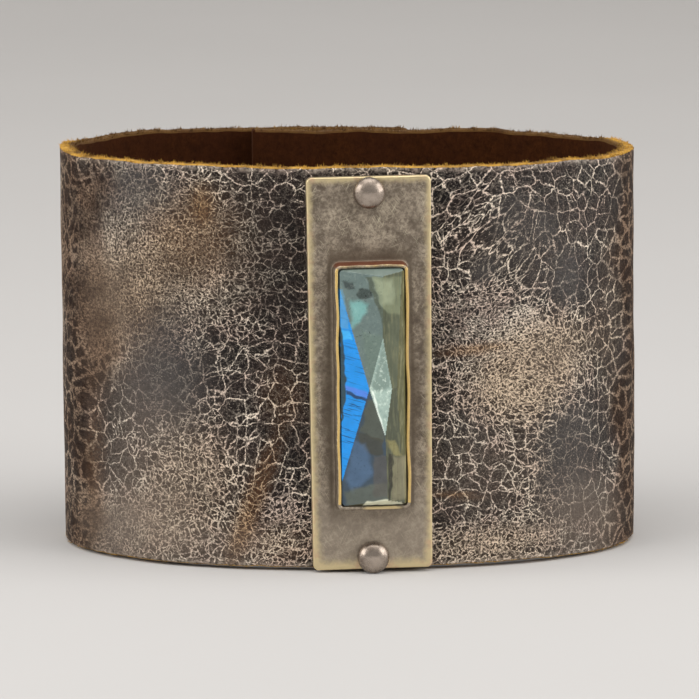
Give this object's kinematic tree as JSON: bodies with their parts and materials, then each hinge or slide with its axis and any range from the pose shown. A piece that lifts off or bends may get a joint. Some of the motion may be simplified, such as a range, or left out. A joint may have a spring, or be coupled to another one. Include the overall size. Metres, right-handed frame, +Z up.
{
  "type": "cuff bracelet",
  "caption": "Wide leather wrist cuff with lapped ends snapped at the back and a riveted brass plate that holds a long faceted stone in a bezel.",
  "frame": {"origin": "under the middle of the bounding box, on the surface that the cuff stands on", "axes": "+Z up along the wrist, -Y out of the brass plate, +X across to the right of whoever faces the plate"},
  "size_m": [0.0742, 0.0538, 0.0512],
  "materials": {
    "leather": "cracked and glossy outside, suede inside, raw cut edges",
    "aged_brass": "dark patina with worn bright edges",
    "labradorite": "polished facets with a blue flash",
    "rivet_brass": "polished dome with patina",
    "snap_metal": "satin antique"
  },
  "bodies": {
    "root": {"leather_band": "leather", "setting_plate": "aged_brass", "stone": "labradorite", "rivet_upper": "rivet_brass", "rivet_lower": "rivet_brass", "snap_upper": "snap_metal", "snap_lower": "snap_metal"}
  },
  "joints": []
}
